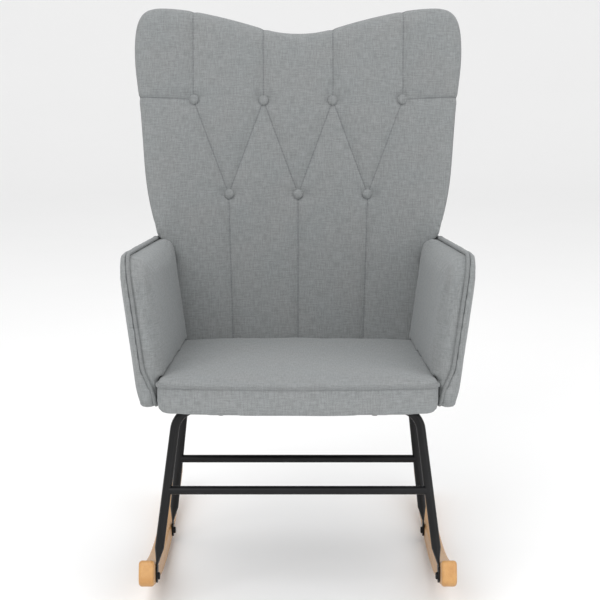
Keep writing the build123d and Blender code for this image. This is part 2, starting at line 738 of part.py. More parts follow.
os.makedirs("parts", exist_ok=True)
for node, shape in build_chair().items():
    export_step(shape, f"parts/{node}.step")
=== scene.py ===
import math

import bmesh
import bpy
import numpy as np
from bpy.props import FloatProperty, FloatVectorProperty, PointerProperty
from mathutils import Matrix, Vector, noise
from mathutils.bvhtree import BVHTree
from mathutils.kdtree import KDTree


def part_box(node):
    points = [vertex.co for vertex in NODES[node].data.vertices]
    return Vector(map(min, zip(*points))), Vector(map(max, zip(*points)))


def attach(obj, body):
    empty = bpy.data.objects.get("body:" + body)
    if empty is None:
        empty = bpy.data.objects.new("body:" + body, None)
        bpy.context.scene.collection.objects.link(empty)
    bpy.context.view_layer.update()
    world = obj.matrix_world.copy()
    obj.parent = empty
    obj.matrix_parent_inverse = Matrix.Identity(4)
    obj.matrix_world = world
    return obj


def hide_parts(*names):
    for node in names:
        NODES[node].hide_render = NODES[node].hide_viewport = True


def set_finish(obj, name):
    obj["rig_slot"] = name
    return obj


bl_info = {
    "name": "Wing-back rocking chair",
    "version": (1, 0, 0),
    "blender": (4, 5, 0),
    "location": "View3D > Sidebar > Chair",
    "description": "Upholsters and finishes a wing-back rocking chair round its fixed frame",
    "category": "Object",
}

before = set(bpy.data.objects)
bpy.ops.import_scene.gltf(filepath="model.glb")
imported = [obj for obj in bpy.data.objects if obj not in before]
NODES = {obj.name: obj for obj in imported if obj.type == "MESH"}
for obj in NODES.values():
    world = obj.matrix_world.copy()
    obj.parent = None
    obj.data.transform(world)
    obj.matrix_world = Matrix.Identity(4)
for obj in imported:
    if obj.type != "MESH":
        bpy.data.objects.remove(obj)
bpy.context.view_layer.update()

# Where the seat, the back and the arms stand, in metres, as the frame has them.
FRONT_BOLT_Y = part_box("seat_cushion")[0].y + 0.060
SEAT_TILT = math.radians(-3.6)
SEAT_FOOT = Vector((0.0, FRONT_BOLT_Y - 0.060, 0.3395))
BACK_RECLINE = math.radians(-9.0)
BACK_FOOT = Vector((0.0, FRONT_BOLT_Y + 0.428, 0.301))
BACK_RADIUS = 0.925
ARM_SPLAY = math.radians(8.5)
ARM_TOE_IN = math.radians(1.1)
ARM_FOOT = Vector((0.2405, FRONT_BOLT_Y, 0.344))

SEAT_PLACE = Matrix.Translation(SEAT_FOOT) @ Matrix.Rotation(SEAT_TILT, 4, "X")
BACK_PLACE = Matrix.Translation(BACK_FOOT) @ Matrix.Rotation(BACK_RECLINE, 4, "X")
ARM_TURN = Matrix.Rotation(ARM_SPLAY, 4, "Y") @ Matrix.Rotation(ARM_TOE_IN, 4, "Z")
ARM_PLACE = Matrix.Translation(ARM_FOOT) @ ARM_TURN

# Which local axes lie in each panel's own plane, and which one goes through it.
SEAT_AXES = (0, 1, 2)
BACK_AXES = (0, 2, 1)
ARM_AXES = (1, 2, 0)

MERGE_DISTANCE = 1e-5
SNAP_REACH = 0.0013
RIM_STEP = 0.002
RIM_TOLERANCE = 0.0004
SWELL_FRAMES = 14
CLOTH_QUALITY = 5
STITCH_LENGTH = 0.006
SEAT_WELT_HEIGHT = 0.0436
BACK_WELT_DEPTH = 0.0295
BACK_COVER_END = 0.048
ARM_INNER_THICKNESS = 0.032
ARM_OUTER_THICKNESS = 0.0105
ARM_PILLOW_WIDTH = 0.034
ARM_EDGE_FULLNESS = 0.22
ARM_TUCK = 0.013

# Voxels of the even meshes that the pads are puffed out from.
PANEL_VOXEL = 0.005
COVER_VOXEL = 0.004
ARM_VOXELS = {"inner_pad": 0.004, "outer_pad": 0.0035}

# The back's front edge is rounder above the arms than beside them.
BACK_ROUND = 0.018
BACK_ROUND_BESIDE_ARMS = 0.004
BACK_FREE_HEIGHTS = (0.255, 0.32)
BACK_SPREAD = 0.008
COVER_ROUND = 0.009
COVER_LIP = 0.0025
EDGE_NICK_HEIGHT = 0.40
PAD_NICK = 0.0022
PIPING_NICK = 0.0016

# Tone of the piping against the cloth beside it.
PIPING_TONE = 0.86
# The back's piping is darker still: painted shade for the shaded underside of its cord along the
# back's edge.
PAINTED_SHADE_PIPING_TONE = 0.66

CAMERA_PLACE = (0.0035, FRONT_BOLT_Y - 2.6, 1.010)
CAMERA_PITCH = math.radians(-10.81)
CAMERA_SENSOR = 36.0
BACKDROP_SIZE = 5.0
LIGHT_AIM = Vector((0.0, 0.0, 0.5))

# Half outline of a covered button, front middle first, as radius and rise in millimetres.
BUTTON_PROFILE = (
    (0.0, 3.5), (2.6, 3.4), (5.4, 2.9), (7.6, 1.9), (9.0, 0.4), (9.4, -1.2), (8.6, -2.8),
    (0.0, -3.2),
)
BUTTON_STEPS = 32


# ---- what a user may change ----

def colour(name, description, default):
    return FloatVectorProperty(
        name=name, description=description, default=default, min=0.0, max=1.0,
        subtype="COLOR", size=3,
    )


def length(name, description, default, low, high):
    return FloatProperty(
        name=name, description=description, default=default, min=low, max=high,
        subtype="DISTANCE", unit="LENGTH",
    )


class ChairUpholstery(bpy.types.PropertyGroup):
    cloth_colour: colour("Cloth", "Colour of its lighter threads", (0.285, 0.295, 0.295))
    cloth_shade: colour("Cloth shade", "Colour of its darker threads", (0.150, 0.156, 0.157))
    thread_pitch: length("Thread pitch", "Distance from thread to thread", 0.0013, 0.0005, 0.005)
    seat_swell: length("Seat swell", "How far the seat pad may puff out", 0.006, 0.0, 0.03)
    back_swell: length("Back swell", "How far the back pad may puff out", 0.005, 0.0, 0.03)
    arm_swell: length("Arm swell", "How far the arm pads may puff out", 0.004, 0.0, 0.03)
    seam_depth: length("Seam depth", "Depth of the pleats between the buttons", 0.0032, 0.0, 0.01)
    button_depth: length("Button depth", "Depth of the dimple under each button", 0.0065, 0.0, 0.02)
    piping_diameter: length("Piping", "Thickness of the corded seams", 0.0064, 0.002, 0.012)


class ChairFinishes(bpy.types.PropertyGroup):
    wood_colour: colour("Wood", "Colour of the rockers' wood", (0.54, 0.30, 0.105))
    grain_colour: colour("Grain", "Colour of the darker lines in the wood", (0.41, 0.195, 0.06))
    steel_colour: colour("Steel", "Colour of the powder coat on the legs", (0.0035, 0.0035, 0.004))


class ChairStage(bpy.types.PropertyGroup):
    floor_colour: colour("Floor", "Colour of the floor and backdrop", (0.93, 0.93, 0.93))
    key_power: FloatProperty(
        name="Key light", description="Power of the large soft light in front",
        unit="POWER", min=0.0, default=62.0,
    )
    sky_strength: FloatProperty(
        name="Sky", description="Brightness of the even light all round", min=0.0, default=0.85
    )
    lens: FloatProperty(
        name="Lens", description="Focal length of the camera, in millimetres",
        subtype="DISTANCE_CAMERA", min=10.0, default=100.6,
    )


# ---- local frames of the panels ----

def spots_of(mesh):
    """Every vertex position of a mesh as an array."""
    spots = np.empty(len(mesh.vertices) * 3)
    mesh.vertices.foreach_get("co", spots)
    return spots.reshape(-1, 3)


def set_spots(mesh, spots):
    mesh.vertices.foreach_set("co", spots.ravel())
    mesh.update()


def moved(spots, matrix):
    matrix = np.array(matrix)
    return spots @ matrix[:3, :3].T + matrix[:3, 3]


def back_sag(across):
    """How far forward of its middle the curved back is, as a negative depth."""
    return np.sqrt(BACK_RADIUS**2 - across**2) - BACK_RADIUS


def layer_depth(across, thickness):
    """Depth in the back's panel frame of the curved surface that far behind its front."""
    return np.sqrt((BACK_RADIUS + thickness) ** 2 - across**2) - BACK_RADIUS - back_sag(across)


def snap_depth(panel, level):
    """Bring positions that are almost on a curved surface right on to it."""
    near = np.abs(panel[:, 2] - level) < SNAP_REACH
    panel[:, 2] = np.where(near, level, panel[:, 2])
    return panel


def to_panel(spots, place, axes):
    """Positions in a panel's own frame: two in its plane, then its depth."""
    local = moved(np.asarray(spots, float), place.inverted())
    panel = local[:, list(axes)]
    if axes == BACK_AXES:
        panel[:, 2] -= back_sag(panel[:, 0])
    return panel


def from_panel(panel, place, axes):
    """The reverse of to_panel."""
    panel = np.array(panel, float)
    if axes == BACK_AXES:
        panel[:, 2] += back_sag(panel[:, 0])
    local = np.empty_like(panel)
    local[:, list(axes)] = panel
    return moved(local, place)


# ---- making pieces ----

def new_piece(name, mesh, slot_name, replaced):
    """A piece of the chair that rides on the frame and stands for CAD nodes."""
    piece = bpy.data.objects.new(name, mesh)
    bpy.context.scene.collection.objects.link(piece)
    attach(piece, "root")
    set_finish(piece, slot_name)
    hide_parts(*replaced)
    return piece


def copy_of_nodes(nodes):
    """A closed mesh with the shape of some CAD nodes, their loose triangles joined."""
    shape = bmesh.new()
    for node in nodes:
        shape.from_mesh(NODES[node].data)
    bmesh.ops.remove_doubles(shape, verts=shape.verts, dist=MERGE_DISTANCE)
    return shape


def joined_to(starts):
    """Those vertices and every vertex that edges join to them."""
    found = list(starts)
    known = set(found)
    for vert in found:
        for edge in vert.link_edges:
            other = edge.other_vert(vert)
            if other not in known:
                known.add(other)
                found.append(other)
    return found


def mesh_from(shape, name):
    mesh = bpy.data.meshes.new(name)
    shape.to_mesh(mesh)
    shape.free()
    return mesh


def apply_modifiers(piece):
    """Make what a piece's modifiers do a part of its mesh."""
    bpy.context.view_layer.update()
    graph = bpy.context.evaluated_depsgraph_get()
    mesh = bpy.data.meshes.new_from_object(piece.evaluated_get(graph), depsgraph=graph)
    before = piece.data
    piece.modifiers.clear()
    piece.data = mesh
    bpy.data.meshes.remove(before)


def padding(name, nodes, voxel, slot_name, replaced):
    """An even, fine mesh with the shape of some CAD nodes, ready to be padded."""
    piece = new_piece(name, mesh_from(copy_of_nodes(nodes), name), slot_name, replaced)
    remesh = piece.modifiers.new("even mesh", "REMESH")
    remesh.mode = "VOXEL"
    remesh.voxel_size = voxel
    apply_modifiers(piece)
    return piece


def subdivide(piece):
    """One more level of smooth faces, as part of the mesh."""
    finer = piece.modifiers.new("finer", "SUBSURF")
    finer.levels = 1
    finer.render_levels = 1
    apply_modifiers(piece)


def swell(piece, held, limit, pressure=4.0):
    """Puff a pad out with a short cloth simulation, held still where held is true."""
    before = spots_of(piece.data)
    group = piece.vertex_groups.new(name="held")
    group.add([int(index) for index in np.flatnonzero(held)], 1.0, "REPLACE")
    cloth = piece.modifiers.new("swell", "CLOTH")
    cloth.settings.vertex_group_mass = group.name
    cloth.settings.quality = CLOTH_QUALITY
    cloth.settings.use_pressure = True
    cloth.settings.uniform_pressure_force = pressure
    cloth.settings.effector_weights.gravity = 0.0
    cloth.collision_settings.use_collision = False
    cloth.point_cache.frame_start = 1
    cloth.point_cache.frame_end = SWELL_FRAMES
    for step in range(1, SWELL_FRAMES + 1):
        bpy.context.scene.frame_set(step)
    apply_modifiers(piece)
    bpy.context.scene.frame_set(1)
    piece.vertex_groups.clear()
    travel = spots_of(piece.data) - before
    far = np.linalg.norm(travel, axis=1, keepdims=True)
    travel *= limit * np.tanh(far / limit) / np.maximum(far, 1e-9)
    set_spots(piece.data, before + travel)


def near_nodes(spots, nodes, reach):
    """Which positions are within reach of any of some CAD nodes."""
    near = np.zeros(len(spots), bool)
    for node in nodes:
        shape = copy_of_nodes([node])
        tree = BVHTree.FromBMesh(shape)
        shape.free()
        for index, spot in enumerate(spots):
            if not near[index] and tree.find_nearest(spot, reach)[0] is not None:
                near[index] = True
    return near


def add_unevenness(piece, height, span, seed):
    """Slight, slow waves in the cloth, the same on every run."""
    mesh = piece.data
    spots = spots_of(mesh)
    normals = np.empty(len(mesh.vertices) * 3)
    mesh.vertices.foreach_get("normal", normals)
    shift = Vector((seed, seed * 0.37, seed * 0.71))
    waves = [noise.noise(Vector(spot) / span + shift) for spot in spots]
    set_spots(mesh, spots + normals.reshape(-1, 3) * np.array(waves)[:, None] * height)


def map_weave(piece):
    """Lay the cloth's threads square on each side of a piece, in metres, as its UV map."""
    mesh = piece.data
    for layer in list(mesh.uv_layers):
        mesh.uv_layers.remove(layer)
    layer = mesh.uv_layers.new(name="weave")
    spots = spots_of(mesh)
    normals = np.empty(len(mesh.polygons) * 3)
    mesh.polygons.foreach_get("normal", normals)
    sizes = np.empty(len(mesh.polygons), np.int32)
    mesh.polygons.foreach_get("loop_total", sizes)
    corners = np.empty(len(mesh.loops), np.int32)
    mesh.loops.foreach_get("vertex_index", corners)
    facing = np.repeat(np.abs(normals.reshape(-1, 3)).argmax(axis=1), sizes)
    across = np.where(facing == 0, 1, 0)
    along = np.where(facing == 2, 1, 2)
    cloth = np.empty((len(corners), 2))
    rows = np.arange(len(corners))
    cloth[:, 0] = spots[corners][rows, across]
    cloth[:, 1] = spots[corners][rows, along]
    layer.data.foreach_set("uv", cloth.ravel())


def finish_soft(piece, material):
    """Smooth shading, cloth threads and material for a soft piece."""
    piece.data.shade_smooth()
    map_weave(piece)
    piece.data.materials.clear()
    piece.data.materials.append(material)


def mirrored_piece(piece, name, replaced):
    """The same piece on the left of the chair."""
    shape = bmesh.new()
    shape.from_mesh(piece.data)
    bmesh.ops.scale(shape, vec=Vector((-1, 1, 1)), verts=shape.verts)
    bmesh.ops.reverse_faces(shape, faces=shape.faces)
    return new_piece(name, mesh_from(shape, name), piece["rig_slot"], replaced)


# ---- rims: the outlines that piping and rounding follow ----

class Rim:
    """A panel's outline in its own plane, evenly spaced, with normals that point inwards."""

    def __init__(self, points):
        closed = np.vstack([points, points[:1]])
        runs = np.linalg.norm(np.diff(closed, axis=0), axis=1)
        along = np.concatenate([[0.0], np.cumsum(runs)])
        count = int(along[-1] / RIM_STEP)
        places = np.linspace(0.0, along[-1], count, endpoint=False)
        self.points = np.column_stack([np.interp(places, along, closed[:, k]) for k in (0, 1)])
        travel = np.roll(self.points, -2, axis=0) - np.roll(self.points, 2, axis=0)
        travel /= np.linalg.norm(travel, axis=1, keepdims=True)
        self.inwards = np.column_stack([-travel[:, 1], travel[:, 0]])
        middle = self.points.mean(axis=0)
        if np.sum((middle - self.points) * self.inwards) < 0:
            self.inwards = -self.inwards
        self.tree = KDTree(count)
        for index, point in enumerate(self.points):
            self.tree.insert((point[0], point[1], 0.0), index)
        self.tree.balance()

    def inset(self, panel):
        """How far inside the rim each position is, and the inward direction there."""
        nearest = [self.tree.find((spot[0], spot[1], 0.0))[1] for spot in panel]
        inwards = self.inwards[nearest]
        return np.sum((panel[:, :2] - self.points[nearest]) * inwards, axis=1), inwards


def rim_of_node(node, place, axes, depth):
    """The longest sharp outline of a CAD node at one depth of its panel's frame."""
    shape = copy_of_nodes([node])
    shape.verts.index_update()
    panel = to_panel([vert.co for vert in shape.verts], place, axes)
    level = np.abs(panel[:, 2] - depth) < RIM_TOLERANCE
    links = {}
    for edge in shape.edges:
        flat = [all(level[vert.index] for vert in face.verts) for face in edge.link_faces]
        if sum(flat) == 1 and len(flat) == 2:
            start, end = (vert.index for vert in edge.verts)
            links.setdefault(start, []).append(end)
            links.setdefault(end, []).append(start)
    shape.free()
    loops = []
    while links:
        loop = [next(iter(links))]
        while True:
            onwards = [end for end in links.pop(loop[-1], []) if end in links]
            if not onwards:
                break
            loop.append(onwards[0])
        loops.append(panel[loop][:, :2])
    return Rim(max(loops, key=lambda points: np.ptp(points, axis=0).sum()))


def smooth_step(value, start, end):
    """Zero before start, one after end, and smooth between, for an array."""
    share = np.clip((value - start) / (end - start), 0.0, 1.0)
    return share * share * (3.0 - 2.0 * share)


def round_over(panel, rim, radius, face_depth, inwards_sign):
    """Turn a panel's square edge into a quarter round, at the face at face_depth."""
    inset, direction = rim.inset(panel)
    depth = (panel[:, 2] - face_depth) * inwards_sign
    side = radius - np.maximum(inset, 0.0)
    rise = radius - np.maximum(depth, 0.0)
    reach = np.hypot(side, rise)
    corner = (side > 0) & (rise > 0) & (reach > radius)
    scale = np.where(corner, radius / np.maximum(reach, 1e-9), 1.0)
    new_inset = np.where(corner, radius - side * scale, inset)
    new_depth = np.where(corner, radius - rise * scale, depth)
    panel[:, :2] += direction * (new_inset - inset)[:, None]
    panel[:, 2] = face_depth + new_depth * inwards_sign
    return panel


def piping(name, path, closed, diameter, slot_name, replaced):
    """A round corded seam along a path."""
    line = bpy.data.curves.new(name, "CURVE")
    line.dimensions = "3D"
    line.bevel_depth = diameter / 2
    line.bevel_resolution = 3
    line.use_fill_caps = True
    spline = line.splines.new("POLY")
    spline.points.add(len(path) - 1)
    for point, spot in zip(spline.points, path):
        point.co = (*spot, 1.0)
    spline.use_cyclic_u = closed
    carrier = bpy.data.objects.new(name, line)
    bpy.context.scene.collection.objects.link(carrier)
    bpy.context.view_layer.update()
    mesh = bpy.data.meshes.new_from_object(carrier)
    bpy.data.objects.remove(carrier)
    shape = bmesh.new()
    shape.from_mesh(mesh)
    bmesh.ops.remove_doubles(shape, verts=shape.verts, dist=MERGE_DISTANCE)
    bmesh.ops.recalc_face_normals(shape, faces=shape.faces)
    return new_piece(name, mesh_from(shape, name), slot_name, replaced)


# ---- materials ----

class Nodes:
    """Short ways to add and join shader nodes in one material or group."""

    def __init__(self, tree):
        self.tree = tree

    def add(self, kind, values=None, **links):
        node = self.tree.nodes.new(kind)
        for key, value in (values or {}).items():
            if key in node.inputs:
                node.inputs[key].default_value = value
            else:
                setattr(node, key, value)
        for key, source in links.items():
            self.join(source, node, key.replace("_", " "))
        return node

    def join(self, source, node, socket):
        self.tree.links.new(source, node.inputs[socket])

    def fill(self, node, values):
        """Set or link sockets, by whether each value is a constant or another node's output."""
        for socket, value in values:
            if isinstance(value, bpy.types.NodeSocket):
                self.tree.links.new(value, node.inputs[socket])
            elif value is not None:
                node.inputs[socket].default_value = value

    def math(self, operation, first, second=None, clamp=False):
        node = self.tree.nodes.new("ShaderNodeMath")
        node.operation = operation
        node.use_clamp = clamp
        self.fill(node, ((0, first), (1, second)))
        return node.outputs[0]

    def scaled(self, value, factor, offset):
        """The value times a factor, plus an offset."""
        output = self.math("MULTIPLY_ADD", value, factor)
        output.node.inputs[2].default_value = offset
        return output

    def vector(self, operation, first, second=None, scale=None):
        node = self.tree.nodes.new("ShaderNodeVectorMath")
        node.operation = operation
        self.fill(node, ((0, first), (1, second), ("Scale", scale)))
        return node

    def mix(self, share, first, second, blend="MIX"):
        node = self.tree.nodes.new("ShaderNodeMix")
        node.data_type = "RGBA"
        node.blend_type = blend
        first, second = (
            (*end, 1.0) if isinstance(end, (tuple, list)) else end for end in (first, second)
        )
        self.fill(node, ((0, share), (6, first), (7, second)))
        return node.outputs[2]

    def noise(self, vector, scale, detail=2.0, rough=0.5):
        values = {"Scale": scale, "Detail": detail, "Roughness": rough}
        return self.add("ShaderNodeTexNoise", values, Vector=vector).outputs["Fac"]

    def stretch(self, vector, scale):
        return self.add("ShaderNodeMapping", {"Scale": scale}, Vector=vector).outputs[0]

    def spread(self, value, low, high):
        """Map the range low to high onto 0 to 1."""
        values = {"From Min": low, "From Max": high}
        return self.add("ShaderNodeMapRange", values, Value=value).outputs[0]


def new_material(name, **sockets):
    """A material with its surface shader's constant values set on the shader itself."""
    material = bpy.data.materials.new(name)
    material.use_nodes = True
    material.node_tree.nodes.clear()
    nodes = Nodes(material.node_tree)
    shader = nodes.add("ShaderNodeBsdfPrincipled")
    for key, value in sockets.items():
        shader.inputs[key.replace("_", " ")].default_value = value
    nodes.add("ShaderNodeOutputMaterial", Surface=shader.outputs[0])
    return material, nodes, shader


def add_bump(nodes, shader, height, strength, distance, before=None):
    bump = nodes.add("ShaderNodeBump", {"Strength": strength, "Distance": distance}, Height=height)
    if before is not None:
        nodes.join(before, bump, "Normal")
    nodes.join(bump.outputs[0], shader, "Normal")
    return bump.outputs[0]


def cloth_material(name, settings, tone=1.0, seams=None):
    """Heather cloth: a plain weave with slubs along both sets of threads."""
    material, nodes, shader = new_material(
        name, Roughness=0.92, Sheen_Weight=0.18, Sheen_Roughness=0.55, Specular_IOR_Level=0.25
    )
    shader.inputs["Sheen Tint"].default_value = (0.9, 0.93, 0.95, 1.0)
    cloth = nodes.add("ShaderNodeUVMap", {"uv_map": "weave"}).outputs[0]
    threads = nodes.add("ShaderNodeSeparateXYZ", Vector=cloth)
    turn = math.pi / settings.thread_pitch
    across = nodes.math("SINE", nodes.math("MULTIPLY", threads.outputs[0], turn))
    along = nodes.math("SINE", nodes.math("MULTIPLY", threads.outputs[1], turn))
    over = nodes.scaled(nodes.math("MULTIPLY", across, along), 0.5, 0.5)
    warp = nodes.noise(nodes.stretch(cloth, (480.0, 60.0, 1.0)), 1.0, 2.0, 0.6)
    weft = nodes.noise(nodes.stretch(cloth, (60.0, 480.0, 1.0)), 1.0, 2.0, 0.6)
    slubs = nodes.math("MULTIPLY", nodes.math("ADD", warp, weft), 0.5)
    flecks = nodes.noise(nodes.stretch(cloth, (900.0, 900.0, 1.0)), 1.0, 1.0, 0.5)
    share = nodes.math("ADD", nodes.spread(slubs, 0.38, 0.62), nodes.spread(flecks, 0.25, 0.75))
    share = nodes.math("MULTIPLY", share, 0.5, clamp=True)
    light = tuple(channel * tone for channel in settings.cloth_colour)
    dark = tuple(channel * tone for channel in settings.cloth_shade)
    colour = nodes.mix(share, dark, light)
    cool = nodes.spread(nodes.noise(cloth, 14.0, 2.0, 0.5), 0.35, 0.65)
    colour = nodes.mix(nodes.math("MULTIPLY", cool, 0.25), colour, (0.92, 0.98, 1.0), "MULTIPLY")
    shade = nodes.scaled(over, 0.16, 0.84)
    tint = nodes.add("ShaderNodeCombineXYZ", X=shade, Y=shade, Z=shade).outputs[0]
    colour = nodes.mix(1.0, colour, tint, "MULTIPLY")
    weave = nodes.math("MULTIPLY", over, 0.6)
    height = nodes.math("ADD", weave, nodes.math("MULTIPLY", slubs, 0.9))
    if seams:
        crease = seam_mask(nodes, seams)
        # Painted shade: the seams' creases are darkened in colour, as well as sunk by the bump
        # below.
        colour = nodes.mix(nodes.math("MULTIPLY", crease, 0.42), colour, (0.05, 0.055, 0.06))
    nodes.join(colour, shader, "Base Color")
    bump = add_bump(nodes, shader, height, 0.35, 0.0005)
    if seams:
        sunk = nodes.math("SUBTRACT", 1.0, crease)
        add_bump(nodes, shader, sunk, 0.5, 0.0008, bump)
    return material


def seam_distance_group():
    """A shader group that measures the distance from a point to one straight seam."""
    group = bpy.data.node_groups.new("seam distance", "ShaderNodeTree")
    for name in ("Point", "Start", "Run"):
        group.interface.new_socket(name, in_out="INPUT", socket_type="NodeSocketVector")
    group.interface.new_socket("Distance", in_out="OUTPUT", socket_type="NodeSocketFloat")
    nodes = Nodes(group)
    given = group.nodes.new("NodeGroupInput").outputs
    offset = nodes.vector("SUBTRACT", given["Point"], given["Start"]).outputs["Vector"]
    reach = nodes.vector("DOT_PRODUCT", offset, given["Run"]).outputs["Value"]
    length = nodes.vector("DOT_PRODUCT", given["Run"], given["Run"]).outputs["Value"]
    share = nodes.math("DIVIDE", reach, length, clamp=True)
    foot = nodes.vector("SCALE", given["Run"], scale=share).outputs["Vector"]
    gap = nodes.vector("SUBTRACT", offset, foot).outputs["Vector"]
    distance = nodes.vector("LENGTH", gap).outputs["Value"]
    group.links.new(distance, group.nodes.new("NodeGroupOutput").inputs["Distance"])
    return group


def seam_mask(nodes, seams):
    """One along every seam of the back's front face, fading to zero beside it; it sinks the creases
    and paints shade into them.
    """
    group = bpy.data.node_groups.get("seam distance") or seam_distance_group()
    place = BACK_PLACE.inverted()
    spot = nodes.add("ShaderNodeTexCoord").outputs["Object"]
    turned = nodes.add("ShaderNodeMapping", Vector=spot)
    turned.inputs["Location"].default_value = place.translation
    turned.inputs["Rotation"].default_value = place.to_euler()
    flat = nodes.vector("MULTIPLY", turned.outputs[0], (1.0, 0.0, 1.0)).outputs["Vector"]
    nearest = None
    for start, end in seams:
        measure = nodes.tree.nodes.new("ShaderNodeGroup")
        measure.node_tree = group
        nodes.tree.links.new(flat, measure.inputs["Point"])
        measure.inputs["Start"].default_value = (start[0], 0.0, start[1])
        measure.inputs["Run"].default_value = (end[0] - start[0], 0.0, end[1] - start[1])
        distance = measure.outputs["Distance"]
        nearest = distance if nearest is None else nodes.math("MINIMUM", nearest, distance)
    mask = nodes.spread(nearest, 0.0018, 0.0003)
    parts = nodes.add("ShaderNodeSeparateXYZ", Vector=turned.outputs[0]).outputs
    stitches = nodes.math("SINE", nodes.math("MULTIPLY", parts[2], math.tau / STITCH_LENGTH))
    mask = nodes.math("MULTIPLY", mask, nodes.scaled(stitches, 0.22, 0.78))
    front = nodes.math("LESS_THAN", parts[1], 0.012)
    return nodes.math("MULTIPLY", mask, front)


def wood_material(settings):
    """Clear-coated pale hardwood, its grain running along the rocker."""
    material, nodes, shader = new_material(
        "pale_hardwood", Coat_Weight=0.25, Coat_Roughness=0.25, Specular_IOR_Level=0.4
    )
    spot = nodes.add("ShaderNodeTexCoord").outputs["Object"]
    wander = nodes.noise(nodes.stretch(spot, (6.0, 2.2, 6.0)), 1.0, 2.0, 0.5)
    rings = nodes.stretch(spot, (42.0, 2.4, 42.0))
    wavy = nodes.add("ShaderNodeCombineXYZ", X=wander, Z=wander).outputs[0]
    swirl = nodes.vector("ADD", rings, wavy)
    bands = nodes.noise(swirl.outputs[0], 1.6, 4.0, 0.62)
    fibres = nodes.noise(nodes.stretch(spot, (900.0, 22.0, 900.0)), 1.0, 3.0, 0.6)
    pits = nodes.noise(nodes.stretch(spot, (1500.0, 60.0, 1500.0)), 1.0, 1.0, 0.5)
    pores = nodes.spread(pits, 0.62, 0.72)
    coarse = nodes.math("MULTIPLY", nodes.spread(bands, 0.35, 0.68), 0.6)
    fine = nodes.math("MULTIPLY", nodes.spread(fibres, 0.3, 0.75), 0.4)
    grain = nodes.math("ADD", coarse, fine)
    colour = nodes.mix(grain, settings.wood_colour[:], settings.grain_colour[:])
    colour = nodes.mix(nodes.math("MULTIPLY", pores, 0.45), colour, (0.25, 0.12, 0.05))
    nodes.join(colour, shader, "Base Color")
    nodes.join(nodes.scaled(fibres, 0.2, 0.34), shader, "Roughness")
    add_bump(nodes, shader, nodes.math("SUBTRACT", fibres, pores), 0.18, 0.0004)
    return material


def coated_steel(name, settings, rough):
    """Satin black powder coat with a fine orange-peel surface."""
    material, nodes, shader = new_material(name, Specular_IOR_Level=0.25)
    spot = nodes.add("ShaderNodeTexCoord").outputs["Object"]
    peel = nodes.noise(spot, 900.0, 2.0, 0.5)
    patches = nodes.noise(spot, 22.0, 3.0, 0.6)
    black = settings.steel_colour[:]
    worn = tuple(channel * 1.8 + 0.002 for channel in black)
    colour = nodes.mix(nodes.spread(patches, 0.4, 0.75), black, worn)
    nodes.join(colour, shader, "Base Color")
    nodes.join(nodes.scaled(patches, 0.16, rough), shader, "Roughness")
    add_bump(nodes, shader, peel, 0.12, 0.0003)
    return material


def plated_steel():
    """Zinc plate with a faint fine grain and clouding."""
    material, nodes, shader = new_material("zinc_plate", Metallic=1.0)
    spot = nodes.add("ShaderNodeTexCoord").outputs["Object"]
    cloud = nodes.noise(spot, 160.0, 3.0, 0.6)
    nodes.join(nodes.mix(cloud, (0.44, 0.44, 0.42), (0.66, 0.66, 0.62)), shader, "Base Color")
    nodes.join(nodes.spread(cloud, -0.4, 1.6), shader, "Roughness")
    add_bump(nodes, shader, nodes.noise(spot, 1400.0, 1.0, 0.5), 0.1, 0.0002)
    return material


def ply_material():
    """Raw plywood: pale faces with fine grain and paler clouds."""
    material, nodes, shader = new_material("raw_plywood", Roughness=0.7)
    spot = nodes.add("ShaderNodeTexCoord").outputs["Object"]
    fibres = nodes.noise(nodes.stretch(spot, (700.0, 30.0, 30.0)), 1.0, 3.0, 0.6)
    clouds = nodes.noise(spot, 9.0, 3.0, 0.6)
    colour = nodes.mix(fibres, (0.62, 0.44, 0.25), (0.46, 0.30, 0.15))
    colour = nodes.mix(nodes.math("MULTIPLY", clouds, 0.4), colour, (0.70, 0.54, 0.34))
    nodes.join(colour, shader, "Base Color")
    add_bump(nodes, shader, fibres, 0.2, 0.0004)
    return material


def lining_material():
    """Thin black non-woven cloth, pressed in a fine dotted grid."""
    material, nodes, shader = new_material("lining_cloth", Roughness=0.95, Sheen_Weight=0.1)
    spot = nodes.add("ShaderNodeTexCoord").outputs["Object"]
    dots = nodes.add("ShaderNodeTexVoronoi", {"Scale": 600.0}, Vector=spot).outputs["Distance"]
    fluff = nodes.noise(spot, 130.0, 3.0, 0.7)
    share = nodes.math("MULTIPLY", nodes.math("ADD", dots, fluff), 0.5)
    colour = nodes.mix(share, (0.012, 0.012, 0.012), (0.045, 0.045, 0.048))
    nodes.join(colour, shader, "Base Color")
    add_bump(nodes, shader, dots, 0.3, 0.0004)
    return material


def twine_material():
    """Waxed twine with a spiral lay."""
    material, nodes, shader = new_material("waxed_twine", Roughness=0.6)
    spot = nodes.add("ShaderNodeTexCoord").outputs["Object"]
    values = {"Scale": 700.0, "Distortion": 1.0}
    lay = nodes.add("ShaderNodeTexWave", values, Vector=spot).outputs["Fac"]
    nodes.join(nodes.mix(lay, (0.34, 0.31, 0.24), (0.56, 0.52, 0.42)), shader, "Base Color")
    add_bump(nodes, shader, lay, 0.3, 0.0003)
    return material


def give(material, *nodes):
    """Put a material on CAD nodes that stay as they are."""
    for node in nodes:
        NODES[node].data.materials.clear()
        NODES[node].data.materials.append(material)


def shared(name, maker, *values, **options):
    """A material that several pieces have in common, made the first time it is asked for."""
    return bpy.data.materials.get(name) or maker(name, *values, **options)


# ---- the back's buttons and seams ----

